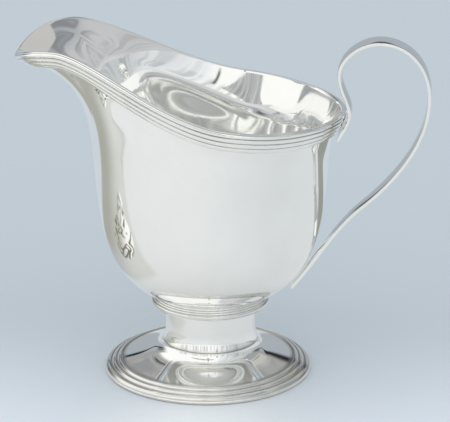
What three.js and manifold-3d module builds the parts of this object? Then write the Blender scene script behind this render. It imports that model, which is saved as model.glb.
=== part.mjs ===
// Cream jug: a raised bowl with a drawn spout, a reeded rim wire, a strap handle and a spread pedestal foot.
// Millimetres, +Z up, the foot stands on Z = 0, spout towards -X, handle towards +X, mirror plane Y = 0.
import * as THREE from "three";
import { mergeVertices } from "three/addons/utils/BufferGeometryUtils.js";
import Module from "manifold-3d";

const wasm = await Module();
wasm.setup();

// Driving dimensions: sheet and joints
const SHEET = 0.8; // wall of the bowl
const SOLDER = 0.1; // film between two soldered pieces

// Driving dimensions: bowl, measured from its own axis
const BOWL_OFFSET = 1.1; // bowl axis, behind the foot's axis
const BOWL_BOTTOM = 21.4; // height of the lowest point
const BELLY_RADIUS = 34.05; // half its length; it is oval in plan
const BELLY_SIDE_RADIUS = 30.0; // half its width
const BELLY_HEIGHT = 66;
const BELLY_TAPER = 0.06; // widening of the wall per millimetre of height
const BASE_FLAT_RADIUS = 30.7; // how far the bottom runs out flat before it turns up
const WALL_RUN_LENGTH = 28.4; // how far the wall runs straight down before it turns in

// Driving dimensions: rim line, measured from the bowl's axis
const RIM_BACK = { x: 38.3, z: 79.9 };
const RIM_SIDE = { x: 7.1, y: 33.0, z: 82.15 };
const RIM_SIDE_RISE = 0.12; // slope of the rim line at its widest point
const SHOULDER = { x: -42.5, y: 20.6, z: 100.3 };
const SHOULDER_TURN_ANGLE = 0.19; // angle at which the rim line closes in there
const SHOULDER_DROP = 0.02; // slope at which it starts to fall there
const SPOUT_TIP = { x: -55.5, z: 95.7 };
const BACK_PULL = 14.3; // how far the rim line runs straight beside each of its stops
const SIDE_PULL = { before: 17.8, after: 18.9 };
const SHOULDER_PULL = { before: 10.9, after: 10.0 };
const TIP_PULL = 9.0;

// How the wall meets the rim at four stations: its lean from upright, and how far it runs
// straight from the rim and from the belly
const WALL_AT_BACK = { lean: 22, fromRim: 7, fromBelly: 6 };
const WALL_AT_SIDE = { lean: 19.5, fromRim: 12, fromBelly: 5 };
const WALL_AT_SHOULDER = { lean: 24, fromRim: 10.5, fromBelly: 33.9 };
const WALL_AT_TIP = { lean: 54, fromRim: 10.4, fromBelly: 27 };

// Driving dimensions: rim wire
const REED_BASE = 0.8; // thickness of the wire at its grooves
const REED_RISE = 0.42; // height of a reed over its grooves
const REED_GROOVES = [5.9, 4.1, 2.6, 1.1]; // distance of the grooves below the rim
const ROLL_RISE = 0.62; // height of the roll along the edge
const ROLL_TOP = 0.1; // where the roll meets the sheet, below the rim

// Driving dimensions: strap handle
const STRAP_WIDTH = 8.0;
const STRAP_END_WIDTH = 4.8;
const STRAP_NARROWS = 0.5; // share of its length after which the strap gets narrower
const STRAP_THICKNESS = 1.5;
const STRAP_EDGE = 1.3; // thickness of the strap at its edges

// Stops on the middle line of the strap, measured from the foot's axis: place, direction in
// degrees, and how far the line runs straight before and after the stop
const TAIL_END = { x: 37.8, z: 71.3, angle: 70, before: 0, after: 3.4 };
const HOOK = { x: 41.05, z: 79.6, angle: 90, before: 3.9, after: 3.0 };
const LOOP_BACK = { x: 38.0, z: 90.5, angle: 90, before: 4.3, after: 5.3 };
const LOOP_TOP = { x: 49.2, z: 100.1, angle: 0, before: 4.9, after: 8.5 };
const LOOP_FRONT = { x: 63.5, z: 84.3, angle: -90, before: 8.8, after: 12.8 };
const SWEEP = { x: 44.5, z: 51.2, angle: -139, before: 13.8, after: 10.0 };
const STRAP_SEAT = { x: 24.6, z: 26.0, angle: -131, before: 10.0, after: 0 };

// Driving dimensions: pedestal
const STEM_OFFSET = 0.75; // axis of stem and collar, behind the foot's axis
const COLLAR_RADIUS = 17.3;
const COLLAR_BASE = 20.6; // height of the collar's underside
const COLLAR_TOP_RADIUS = 15.9;
const COLLAR_BEAD = { height: 1.5, bulge: 0.58 }; // the large lowest bead
const COLLAR_REEDS = { count: 3, rise: 0.14 }; // the fine reeds above it
const STEM_RADIUS = 13.1;
const STEM_WALL = 0.9;
const STEM_HEAD_RADIUS = 14.4;
const STEM_HEAD_DROP = 1.9; // height of the hollow under the head
const STEM_WAIST = 14; // height where the stem starts to flare
const STEM_FLARE = 0.9;
const FOOT_TOP = 9.2; // height of the joint between stem and foot
const FOOT_WALL = 0.9;
const SPIGOT = 1.6; // height of the rings that centre one piece in the next
const SPREAD = { elbow: 6.0, flare: 0.6, rise: 2.4, run: 8.5 }; // bend of the foot's upper face
const FOOT_WIRE_INNER = { r: 25.2, z: 3.4 };
const FOOT_RADIUS = 30.5;
const FOOT_EDGE = 1.1; // height of the lowest rounded edge
const FOOT_CHAMFER = 0.3;
const FOOT_WIRE_SEAT = 2.2; // width of the ledge under the inner edge of the wire
const FOOT_GROOVES = [0.62, 0.3]; // places of the grooves between inner (0) and outer edge (1)
const FOOT_REED_RISE = 0.4;

// Fineness of the facets
const RIM_STEPS = [16, 11, 9];
const BAND_ROWS = 4;
const WALL_ROWS = 6;
const BASE_ROWS = 9;
const REED_STEPS = 3;
const ROLL_STEPS = 6;
const STRAP_STEPS = 60;
const CROWN_STEPS = 6;
const BEND_STEPS = 4;
const SPREAD_STEPS = 8;
const LATHE_STEPS = 36;

const silver = () => new THREE.MeshStandardMaterial({ color: 0xd6d8d8, roughness: 0.12, metalness: 1 });
const v3 = (x, y, z) => new THREE.Vector3(x, y, z);
const radians = THREE.MathUtils.degToRad;
const mix = THREE.MathUtils.lerp;

// A closed body from a row of rings with the same number of points
function loft(rings, closed) {
  const count = rings[0].length;
  const points = rings.flat();
  const index = [];
  const face = (a, b, c) => {
    const flat = points[a].distanceTo(points[b]) < 1e-6
      || points[b].distanceTo(points[c]) < 1e-6
      || points[c].distanceTo(points[a]) < 1e-6;
    if (!flat) index.push(a, b, c);
  };
  const spans = closed ? rings.length : rings.length - 1;
  for (let i = 0; i < spans; i++) {
    const next = (i + 1) % rings.length;
    for (let j = 0; j < count; j++) {
      const k = (j + 1) % count;
      face(i * count + j, i * count + k, next * count + k);
      face(i * count + j, next * count + k, next * count + j);
    }
  }
  if (!closed) {
    for (const [ring, start] of [[0, true], [rings.length - 1, false]]) {
      const middle = points.length;
      const centre = rings[ring].reduce((sum, p) => sum.add(p), v3(0, 0, 0)).divideScalar(count);
      points.push(centre);
      for (let j = 0; j < count; j++) {
        const a = ring * count + j;
        const b = ring * count + (j + 1) % count;
        if (start) face(middle, b, a);
        else face(middle, a, b);
      }
    }
  }
  const geometry = new THREE.BufferGeometry().setFromPoints(points);
  geometry.setIndex(index);
  return mergeVertices(geometry, 1e-4);
}

// A round piece from a closed outline of [radius, height] pairs
function turned(outline) {
  const points = [...outline, outline[0]].map(([r, z]) => new THREE.Vector2(r, z));
  const geometry = new THREE.LatheGeometry(points, LATHE_STEPS);
  geometry.rotateX(Math.PI / 2);
  geometry.deleteAttribute("normal");
  geometry.deleteAttribute("uv");
  return mergeVertices(geometry, 1e-4);
}

// Points of one rounded reed from a to b, raised by rise to the left of that direction
function reed(a, b, rise, steps) {
  const points = [];
  const length = Math.hypot(b[0] - a[0], b[1] - a[1]);
  const side = [-(b[1] - a[1]) / length, (b[0] - a[0]) / length];
  for (let i = 1; i < steps; i++) {
    const t = i / steps;
    const lift = rise * Math.sqrt(1 - (2 * t - 1) ** 2);
    points.push([mix(a[0], b[0], t) + side[0] * lift, mix(a[1], b[1], t) + side[1] * lift]);
  }
  return points;
}

// A value that eases from one to the next as t goes from 0 to 1
const ease = (a, b, t) => mix(a, b, t * t * (3 - 2 * t));

// Rim line: three curves from the back by the side and the shoulder to the tip of the spout
function rimCurves() {
  const back = v3(RIM_BACK.x, 0, RIM_BACK.z);
  const side = v3(RIM_SIDE.x, RIM_SIDE.y, RIM_SIDE.z);
  const shoulder = v3(SHOULDER.x, SHOULDER.y, SHOULDER.z);
  const tip = v3(SPOUT_TIP.x, 0, SPOUT_TIP.z);
  const along = v3(-1, 0, RIM_SIDE_RISE);
  const closing = v3(-Math.cos(SHOULDER_TURN_ANGLE), -Math.sin(SHOULDER_TURN_ANGLE), -SHOULDER_DROP);
  const step = (from, direction, length) => from.clone().addScaledVector(direction, length);
  const curve = (...points) => new THREE.CubicBezierCurve3(...points);
  return [
    curve(back, step(back, v3(0, 1, 0), BACK_PULL), step(side, along, -SIDE_PULL.before), side),
    curve(
      side,
      step(side, along, SIDE_PULL.after),
      step(shoulder, closing, -SHOULDER_PULL.before),
      shoulder,
    ),
    curve(
      shoulder,
      step(shoulder, closing, SHOULDER_PULL.after),
      step(tip, v3(0, 1, 0), TIP_PULL),
      tip,
    ),
  ];
}

// Lower half of the wall as [radius, height], from the belly (t = 0) to the bottom (t = 1)
const bowlProfile = new THREE.CubicBezierCurve(
  new THREE.Vector2(BELLY_RADIUS, BELLY_HEIGHT),
  new THREE.Vector2(BELLY_RADIUS - BELLY_TAPER * WALL_RUN_LENGTH, BELLY_HEIGHT - WALL_RUN_LENGTH),
  new THREE.Vector2(BASE_FLAT_RADIUS, BOWL_BOTTOM),
  new THREE.Vector2(0, BOWL_BOTTOM),
);

// A point at a distance from the bowl's axis, drawn in sideways so that the belly is oval and the bottom round
function onOval(radius, round, z) {
  const squeeze = 1 - (1 - BELLY_SIDE_RADIUS / BELLY_RADIUS) * (radius / BELLY_RADIUS) ** 4;
  return v3(radius * Math.cos(round), radius * squeeze * Math.sin(round), z);
}

// One line of the wall, from the rim down to the belly, square to the rim at its top
function wallLine(rim, tangent, form) {
  const round = Math.atan2(rim.y, rim.x);
  const out = v3(Math.cos(round), Math.sin(round), 0);
  const belly = onOval(BELLY_RADIUS, round, BELLY_HEIGHT);
  const above = belly.clone().addScaledVector(out, BELLY_TAPER * form.fromBelly);
  above.z += form.fromBelly;
  const inward = v3(-tangent.y, tangent.x, 0).normalize();
  const lean = radians(form.lean);
  const down = v3(0, 0, -Math.cos(lean)).addScaledVector(inward, Math.sin(lean));
  down.addScaledVector(tangent, -down.dot(tangent)).normalize();
  const below = rim.clone().addScaledVector(down, form.fromRim);
  return { down, line: new THREE.CubicBezierCurve3(rim, below, above, belly) };
}

// Stations all round the rim, each with its wall line and its frame at the rim
function rimStations() {
  const forms = [WALL_AT_BACK, WALL_AT_SIDE, WALL_AT_SHOULDER, WALL_AT_TIP];
  const half = [];
  rimCurves().forEach((curve, part) => {
    const last = part === RIM_STEPS.length - 1 ? 1 : 0;
    for (let i = 0; i < RIM_STEPS[part] + last; i++) {
      const t = i / RIM_STEPS[part];
      const blend = (key) => ease(forms[part][key], forms[part + 1][key], t);
      const form = { lean: blend("lean"), fromRim: blend("fromRim"), fromBelly: blend("fromBelly") };
      half.push({ rim: curve.getPoint(t), tangent: curve.getTangent(t), form });
    }
  });
  const mirrored = half.slice(1, -1).reverse().map(({ rim, tangent, form }) => ({
    rim: v3(rim.x, -rim.y, rim.z),
    tangent: v3(-tangent.x, tangent.y, -tangent.z),
    form,
  }));
  return [...half, ...mirrored].map(({ rim, tangent, form }) => {
    const { down, line } = wallLine(rim, tangent, form);
    return { rim, tangent, down, line, length: line.getLength() };
  });
}

const stations = rimStations();

// Distances below the rim at which the wall has its upper rows
const bandDepth = REED_GROOVES[0];
const bandRows = Array.from({ length: BAND_ROWS + 1 }, (_, i) => (bandDepth * i) / BAND_ROWS);

// Outer face of the bowl: rows from the rim to the bottom at each station
function outerRows(station) {
  const rows = bandRows.map((s) => station.line.getPointAt(s / station.length));
  for (let i = 1; i <= WALL_ROWS; i++) {
    rows.push(station.line.getPointAt(mix(bandDepth / station.length, 1, i / WALL_ROWS)));
  }
  const round = Math.atan2(station.rim.y, station.rim.x);
  for (let i = 1; i <= BASE_ROWS; i++) {
    const p = bowlProfile.getPoint(i / BASE_ROWS);
    rows.push(onOval(p.x, round, p.y));
  }
  return rows;
}

const outerFace = stations.map(outerRows);

// Unit vectors out of the bowl at every point of its outer face
function outerNormals() {
  const around = outerFace.length;
  return outerFace.map((rows, i) => rows.map((point, j) => {
    if (j === rows.length - 1) return v3(0, 0, -1);
    const ahead = outerFace[(i + 1) % around][j];
    const behind = outerFace[(i + around - 1) % around][j];
    const lower = rows[j + 1];
    const upper = rows[Math.max(j - 1, 0)];
    return ahead.clone().sub(behind).cross(upper.clone().sub(lower)).normalize();
  }));
}

const normals = outerNormals();

// The bowl: outer face, rim edge and the inner face one sheet inside
function bowl() {
  const rings = outerFace.map((rows, i) => {
    const inner = rows.map((point, j) => point.clone().addScaledVector(normals[i][j], -SHEET));
    const coarse = inner.filter((point, j) => j % 2 === 0 || j === inner.length - 1);
    return [...rows, ...coarse.reverse()];
  });
  return loft(rings, true);
}

// Section of the rim wire as [distance out from the bowl's face, distance below the rim]
function rimSection() {
  const outline = [[SOLDER, bandDepth]];
  const grooves = REED_GROOVES.map((s, i) => [i === 0 ? REED_BASE / 2 : REED_BASE, s]);
  outline.push(grooves[0]);
  for (let i = 1; i < grooves.length; i++) {
    outline.push(...reed(grooves[i - 1], grooves[i], REED_RISE, REED_STEPS), grooves[i]);
  }
  const top = [SOLDER, ROLL_TOP];
  outline.push(...reed(grooves[grooves.length - 1], top, ROLL_RISE, ROLL_STEPS), top);
  bandRows.slice(1, -1).forEach((s) => outline.push([SOLDER, s]));
  return outline;
}

// A point given by its distance out from the bowl's face and below the rim
function onBand(station, i, [out, below]) {
  const face = normals[i];
  if (below <= 0) {
    return station.rim.clone().addScaledVector(station.down, below).addScaledVector(face[0], out);
  }
  const row = Math.min((below / bandDepth) * BAND_ROWS, BAND_ROWS - 1e-9);
  const j = Math.floor(row);
  const point = outerFace[i][j].clone().lerp(outerFace[i][j + 1], row - j);
  const normal = face[j].clone().lerp(face[j + 1], row - j).normalize();
  return point.addScaledVector(normal, out);
}

// The rim wire: its section carried all round the rim
function rimWire() {
  const section = rimSection();
  return loft(stations.map((station, i) => section.map((p) => onBand(station, i, p)).reverse()), true);
}

// Filled space of the bowl and its rim wire, grown by the solder film
function jugSpace() {
  const outline = rimSection().slice(1, 1 - BAND_ROWS);
  const rings = stations.map((station, i) => {
    const wire = outline.map(([out, below]) => onBand(station, i, [out + SOLDER, below]));
    const wall = outerFace[i].slice(BAND_ROWS + 1);
    const grown = wall.map((p, j) => p.clone().addScaledVector(normals[i][BAND_ROWS + 1 + j], SOLDER));
    const top = wire[wire.length - 1].clone().setX(0).setY(0);
    return [top, ...wire.reverse(), ...grown];
  });
  rings.forEach((ring) => ring.push(v3(0, 0, BELLY_HEIGHT)));
  return loft(rings, true);
}

// Middle line of the strap in the plane Y = 0, as curves from the tail to the seat
function strapCurves() {
  const stops = [TAIL_END, HOOK, LOOP_BACK, LOOP_TOP, LOOP_FRONT, SWEEP, STRAP_SEAT];
  const along = ({ x, z, angle }, length) => {
    const turn = radians(angle);
    return new THREE.Vector2(x + length * Math.cos(turn), z + length * Math.sin(turn));
  };
  const path = new THREE.CurvePath();
  for (let i = 1; i < stops.length; i++) {
    const [from, to] = [stops[i - 1], stops[i]];
    path.add(new THREE.CubicBezierCurve(
      along(from, 0),
      along(from, from.after),
      along(to, -to.before),
      along(to, 0),
    ));
  }
  return path;
}

// The strap: a bar with a flat inner and a rounded outer face
function strap() {
  const path = strapCurves();
  const rings = [];
  for (let i = 0; i <= STRAP_STEPS; i++) {
    const t = i / STRAP_STEPS;
    const at = path.getPointAt(t);
    const way = path.getTangentAt(t);
    const outward = new THREE.Vector2(-way.y, way.x);
    const lower = Math.max(0, (t - STRAP_NARROWS) / (1 - STRAP_NARROWS));
    const half = ease(STRAP_WIDTH, STRAP_END_WIDTH, lower) / 2;
    const place = (y, rise) => v3(at.x + outward.x * rise, y, at.y + outward.y * rise);
    const inner = -STRAP_THICKNESS / 2;
    const ring = [place(-half, inner), place(half, inner)];
    for (let k = 0; k <= CROWN_STEPS; k++) {
      const share = 1 - (2 * k) / CROWN_STEPS;
      const crown = (STRAP_THICKNESS - STRAP_EDGE) * (1 - share ** 2);
      ring.push(place(half * share, inner + STRAP_EDGE + crown));
    }
    rings.push(ring);
  }
  return loft(rings, false);
}

// A piece as a solid that can be cut, and back
function toSolid(geometry) {
  return new wasm.Manifold(new wasm.Mesh({
    numProp: 3,
    vertProperties: geometry.attributes.position.array,
    triVerts: geometry.index.array,
  }));
}

function toGeometry(solid) {
  const mesh = solid.getMesh();
  const geometry = new THREE.BufferGeometry();
  geometry.setAttribute("position", new THREE.BufferAttribute(mesh.vertProperties, 3));
  geometry.setIndex(new THREE.BufferAttribute(mesh.triVerts, 1));
  return geometry;
}

const jugSolid = toSolid(jugSpace().translate(BOWL_OFFSET, 0, 0));

// A piece filed to fit against the bowl and its rim wire; what is cut loose falls away
function filedToFit(geometry) {
  const parts = toSolid(geometry).subtract(jugSolid).decompose();
  parts.sort((a, b) => b.volume() - a.volume());
  return toGeometry(parts[0]);
}

// Height of the bowl's underside at a distance from its axis
function underside(radius) {
  const points = bowlProfile.getPoints(200);
  const i = points.findIndex((p) => p.x <= radius);
  const [a, b] = [points[i - 1], points[i]];
  return mix(a.y, b.y, (a.x - radius) / (a.x - b.x));
}

// Height at which a ring of this radius on the stem's axis runs into the bowl all round
const seatHeight = (radius) => underside(radius + BOWL_OFFSET - STEM_OFFSET) + SOLDER;

// The collar: a moulded ring with a large bead and finer reeds, between stem and bowl
function collar() {
  const bore = STEM_RADIUS - STEM_WALL + SOLDER;
  const beadBase = [COLLAR_RADIUS - COLLAR_BEAD.bulge, COLLAR_BASE];
  const beadTop = [beadBase[0], COLLAR_BASE + COLLAR_BEAD.height];
  const outline = [[bore, COLLAR_BASE], beadBase];
  outline.push(...reed(beadBase, beadTop, -COLLAR_BEAD.bulge, BEND_STEPS), beadTop);
  const top = [COLLAR_TOP_RADIUS, seatHeight(COLLAR_TOP_RADIUS)];
  for (let i = 1; i <= COLLAR_REEDS.count; i++) {
    const from = outline[outline.length - 1];
    const share = i / COLLAR_REEDS.count;
    const to = [mix(beadTop[0], top[0], share), mix(beadTop[1], top[1], share)];
    outline.push(...reed(from, to, -COLLAR_REEDS.rise, REED_STEPS), to);
  }
  const middle = mix(bore, COLLAR_TOP_RADIUS, 0.5);
  outline.push([middle, seatHeight(middle)], [bore, seatHeight(bore)]);
  return turned(outline);
}

// The stem: a waisted tube with a spread head, centred in the collar by a thin ring
function stem() {
  const spigot = STEM_RADIUS - STEM_WALL;
  const headBase = COLLAR_BASE - SOLDER;
  const outline = [[spigot, seatHeight(spigot)], [spigot, headBase], [STEM_HEAD_RADIUS, headBase]];
  const rise = STEM_HEAD_RADIUS - STEM_RADIUS;
  for (let i = 1; i <= BEND_STEPS; i++) {
    const turn = (Math.PI / 2) * (i / BEND_STEPS);
    const drop = STEM_HEAD_DROP * (1 - Math.cos(turn));
    outline.push([STEM_HEAD_RADIUS - rise * Math.sin(turn), headBase - drop]);
  }
  outline.push([STEM_RADIUS, STEM_WAIST]);
  for (let i = 1; i <= BEND_STEPS; i++) {
    const t = i / BEND_STEPS;
    outline.push([STEM_RADIUS + STEM_FLARE * t ** 2, mix(STEM_WAIST, FOOT_TOP + SOLDER, t)]);
  }
  outline.push([STEM_RADIUS + STEM_FLARE - STEM_WALL, FOOT_TOP + SOLDER]);
  outline.push([spigot, STEM_WAIST], [spigot, headBase - STEM_HEAD_DROP]);
  outline.push([spigot - STEM_WALL, headBase - STEM_HEAD_DROP / 2]);
  outline.push([spigot - STEM_WALL, seatHeight(spigot - STEM_WALL)]);
  return turned(outline.reverse());
}

// Upper face of the spread foot as [radius, height], from the stem to the foot wire
function spreadCurve() {
  const start = STEM_RADIUS + STEM_FLARE;
  return new THREE.CubicBezierCurve(
    new THREE.Vector2(start, FOOT_TOP),
    new THREE.Vector2(start + SPREAD.flare, SPREAD.elbow),
    new THREE.Vector2(FOOT_WIRE_INNER.r - SPREAD.run, FOOT_WIRE_INNER.z + SPREAD.rise),
    new THREE.Vector2(FOOT_WIRE_INNER.r, FOOT_WIRE_INNER.z),
  );
}

// A turned piece drawn over so that its top stands on the stem's axis instead of the foot's
function leaning(geometry) {
  const position = geometry.attributes.position;
  for (let i = 0; i < position.count; i++) {
    const share = THREE.MathUtils.smoothstep(position.getZ(i), FOOT_WIRE_INNER.z, FOOT_TOP);
    position.setX(i, position.getX(i) + STEM_OFFSET * share);
  }
  return geometry;
}

// The foot: a spread shell, hollow below, with a ledge that the foot wire sits on
function foot() {
  const curve = spreadCurve();
  const upper = curve.getPoints(SPREAD_STEPS).map((p) => [p.x, p.y]);
  const lower = [];
  for (let i = SPREAD_STEPS - 2; i > 0; i -= 2) {
    const point = curve.getPoint(i / SPREAD_STEPS);
    const way = curve.getTangent(i / SPREAD_STEPS);
    lower.push([point.x + way.y * FOOT_WALL, point.y - way.x * FOOT_WALL]);
  }
  const spigot = STEM_RADIUS + STEM_FLARE - STEM_WALL - SOLDER;
  const bore = spigot - FOOT_WALL;
  const ledge = [FOOT_WIRE_INNER.r, FOOT_WIRE_INNER.z - FOOT_EDGE];
  const edge = [FOOT_WIRE_INNER.r + FOOT_WIRE_SEAT, ledge[1] - FOOT_EDGE / 2];
  return leaning(turned([
    [bore, FOOT_TOP + SPIGOT],
    [spigot - STEM_FLARE / 2, FOOT_TOP + SPIGOT],
    [spigot, FOOT_TOP],
    ...upper,
    ledge,
    edge,
    [edge[0], edge[1] - FOOT_WALL],
    [ledge[0], ledge[1] - FOOT_WALL],
    ...lower,
    [bore, FOOT_TOP - FOOT_WALL],
  ].reverse()));
}

// The foot wire: a reeded ring that carries the jug
function footWire() {
  const inner = [FOOT_WIRE_INNER.r + SOLDER, FOOT_WIRE_INNER.z];
  const outer = [FOOT_RADIUS - FOOT_CHAMFER / 2, FOOT_EDGE];
  const bore = inner[0] + FOOT_WIRE_SEAT;
  const outline = [[bore, 0], [FOOT_RADIUS - FOOT_CHAMFER, 0]];
  outline.push([FOOT_RADIUS, FOOT_CHAMFER], [FOOT_RADIUS, FOOT_EDGE - FOOT_CHAMFER]);
  const places = [1, ...FOOT_GROOVES, 0];
  const grooves = places.map((t) => [mix(inner[0], outer[0], t), mix(inner[1], outer[1], t)]);
  outline.push(grooves[0]);
  for (let i = 1; i < grooves.length; i++) {
    outline.push(...reed(grooves[i - 1], grooves[i], -FOOT_REED_RISE, REED_STEPS), grooves[i]);
  }
  const ledge = inner[1] - FOOT_EDGE + SOLDER;
  outline.push([inner[0], ledge], [bore, ledge - FOOT_EDGE / 2]);
  return turned(outline);
}

// The assembly, soldered piece on piece, with its origin below the middle of the whole jug
function jug() {
  const group = new THREE.Group();
  const add = (name, geometry, x = 0) => {
    const mesh = new THREE.Mesh(geometry, silver());
    mesh.name = name;
    mesh.position.x = x;
    group.add(mesh);
  };
  add("bowl", bowl(), BOWL_OFFSET);
  add("rim_wire", rimWire(), BOWL_OFFSET);
  add("handle", filedToFit(strap()));
  add("collar", filedToFit(collar().translate(STEM_OFFSET, 0, 0)));
  add("stem", filedToFit(stem().translate(STEM_OFFSET, 0, 0)));
  add("foot", foot());
  add("foot_wire", footWire());
  group.position.x = -new THREE.Box3().setFromObject(group).getCenter(v3(0, 0, 0)).x;
  return group;
}

const model = new THREE.Group();
model.add(jug());
export default model;
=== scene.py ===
"""Looks of the cream jug: polished silver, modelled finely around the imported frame."""

import math
from types import SimpleNamespace

import bmesh
import bpy
import numpy as np
from mathutils import Matrix, Vector


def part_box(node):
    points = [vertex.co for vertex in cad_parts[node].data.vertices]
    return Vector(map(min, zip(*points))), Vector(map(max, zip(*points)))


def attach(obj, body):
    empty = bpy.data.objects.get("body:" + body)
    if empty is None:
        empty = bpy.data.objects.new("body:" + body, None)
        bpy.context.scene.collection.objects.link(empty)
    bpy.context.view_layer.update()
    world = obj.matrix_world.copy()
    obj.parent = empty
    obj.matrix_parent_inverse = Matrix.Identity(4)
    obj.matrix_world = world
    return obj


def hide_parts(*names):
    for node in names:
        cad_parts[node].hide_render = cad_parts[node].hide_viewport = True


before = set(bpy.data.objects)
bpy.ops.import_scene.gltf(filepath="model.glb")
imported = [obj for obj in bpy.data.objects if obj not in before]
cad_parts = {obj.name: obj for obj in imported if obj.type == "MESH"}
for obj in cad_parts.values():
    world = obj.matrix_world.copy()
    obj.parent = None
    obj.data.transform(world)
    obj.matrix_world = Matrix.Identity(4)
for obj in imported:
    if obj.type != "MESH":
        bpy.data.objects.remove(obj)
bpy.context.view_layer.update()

MM = 0.001

# Sizes in millimetres, the same as in the part's source. +Z is up, the foot stands on Z = 0,
# the spout points towards -X, the handle towards +X, and the jug mirrors about Y = 0.
SHEET = 0.8  # wall of the bowl
SOLDER = 0.1  # film between two soldered pieces

BOWL_OFFSET = 1.1  # bowl axis, behind the foot's axis
BOWL_BOTTOM = 21.4  # height of the lowest point
BELLY_RADIUS = 34.05  # half its length; it is oval in plan
BELLY_SIDE_RADIUS = 30.0  # half its width
BELLY_HEIGHT = 66.0
BELLY_TAPER = 0.06  # widening of the wall per millimetre of height
BASE_FLAT_RADIUS = 30.7  # how far the bottom runs out flat before it turns up
WALL_RUN_LENGTH = 28.4  # how far the wall runs straight down before it turns in

# The rim line's stops from back to spout, and how far it runs straight beside each of them
RIM_BACK = (38.3, 0.0, 79.9)
RIM_SIDE = (7.1, 33.0, 82.15)
RIM_SIDE_RISE = 0.12  # slope of the rim line at its widest point
SHOULDER = (-42.5, 20.6, 100.3)
SHOULDER_TURN_ANGLE = 0.19  # angle at which the rim line closes in there
SHOULDER_DROP = 0.02  # slope at which it starts to fall there
SPOUT_TIP = (-55.5, 0.0, 95.7)
BACK_PULL = 14.3
SIDE_PULL_BEFORE = 17.8
SIDE_PULL_AFTER = 18.9
SHOULDER_PULL_BEFORE = 10.9
SHOULDER_PULL_AFTER = 10.0
TIP_PULL = 9.0

# How the wall leaves the rim at those stops: its lean in degrees from upright, then how far it
# runs straight from the rim and from the belly
WALL_AT_BACK = (22, 7, 6)
WALL_AT_SIDE = (19.5, 12, 5)
WALL_AT_SHOULDER = (24, 10.5, 33.9)
WALL_AT_TIP = (54, 10.4, 27)

REED_BASE = 0.8  # thickness of the wire at its grooves
REED_RISE = 0.42  # height of a reed over its grooves
REED_GROOVES = (5.9, 4.1, 2.6, 1.1)  # distance of the grooves below the rim
ROLL_RISE = 0.62  # height of the roll along the edge
ROLL_TOP = 0.1  # where the roll meets the sheet, below the rim
BAND = REED_GROOVES[0]

STRAP_WIDTH = 8.0
STRAP_END_WIDTH = 4.8
STRAP_NARROWS = 0.5  # share of its length after which the strap gets narrower
STRAP_THICKNESS = 1.5
STRAP_CROWN = 0.2  # how much the outer face falls towards the edges
# Stops of the strap's middle line from the tail to the seat, as x, z, the direction in degrees,
# and how far it runs straight before and after
STRAP_STOPS = (
    (37.8, 71.3, 70, 0.0, 3.4),
    (41.05, 79.6, 90, 3.9, 3.0),
    (38.0, 90.5, 90, 4.3, 5.3),
    (49.2, 100.1, 0, 4.9, 8.5),
    (63.5, 84.3, -90, 8.8, 12.8),
    (44.5, 51.2, -139, 13.8, 10.0),
    (24.6, 26.0, -131, 10.0, 0.0),
)

STEM_OFFSET = 0.75  # axis of stem and collar, behind the foot's axis
COLLAR_RADIUS = 17.3
COLLAR_BASE = 20.6  # height of the collar's underside
COLLAR_TOP_RADIUS = 15.9
COLLAR_BEAD_HEIGHT = 1.5  # the large lowest bead
COLLAR_BEAD_BULGE = 0.58
COLLAR_REED_COUNT = 3  # the fine reeds above it
COLLAR_REED_RISE = 0.14
STEM_RADIUS = 13.1
STEM_WALL = 0.9
STEM_HEAD_RADIUS = 14.4
STEM_HEAD_DROP = 1.9  # height of the hollow under the head
STEM_WAIST = 14.0  # height where the stem starts to flare
STEM_FLARE = 0.9
FOOT_TOP = 9.2  # height of the joint between stem and foot
FOOT_WALL = 0.9
SPIGOT = 1.6  # height of the ring that centres the stem on the foot
SPREAD_ELBOW = 6.0  # bend of the foot's upper face
SPREAD_FLARE = 0.6
SPREAD_RISE = 2.4
SPREAD_RUN = 8.5
FOOT_WIRE_INNER_RADIUS = 25.2
FOOT_WIRE_INNER_HEIGHT = 3.4
FOOT_RADIUS = 30.5
FOOT_EDGE = 1.1  # height of the lowest rounded edge
FOOT_CHAMFER = 0.3
FOOT_WIRE_SEAT = 2.2  # width of the ledge under the inner edge of the wire
FOOT_GROOVES = (0.62, 0.3)  # places of the grooves between inner (0) and outer edge (1)
FOOT_REED_RISE = 0.4

# Finer forms of the same pieces, in millimetres
WIRE_FILM = 0.02  # between the rim wire and the bowl
STRAP_INNER_CROWN = 0.4  # how much the inner face falls towards the edges
STRAP_INNER_RADIUS = 0.25
STRAP_OUTER_RADIUS = 0.4
STRAP_CROWN_REACH = 0.85  # share of the width that the crowned faces take
TAIL_FILING = (0.34, 0.2, 0.08, 0.02)  # how much each ring at the tail's end is drawn in
TAIL_FILING_WAYS = (0.7, 0.25, 0.7)  # share of that along x, y and z
FOOT_EDGE_SWING = 60  # degrees of the rounded edge above and below its middle
FOOT_EDGE_MARGIN = 0.1
# Filed edge of the bowl, as (out from its face, below the rim)
BOWL_EDGE = (
    (0.0, 0.06),
    (-0.06, 0.01),
    (-0.2, -0.02),
    (-0.4, -0.02),
    (-0.58, 0.02),
    (-0.7, 0.09),
    (-0.77, 0.2),
)

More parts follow.
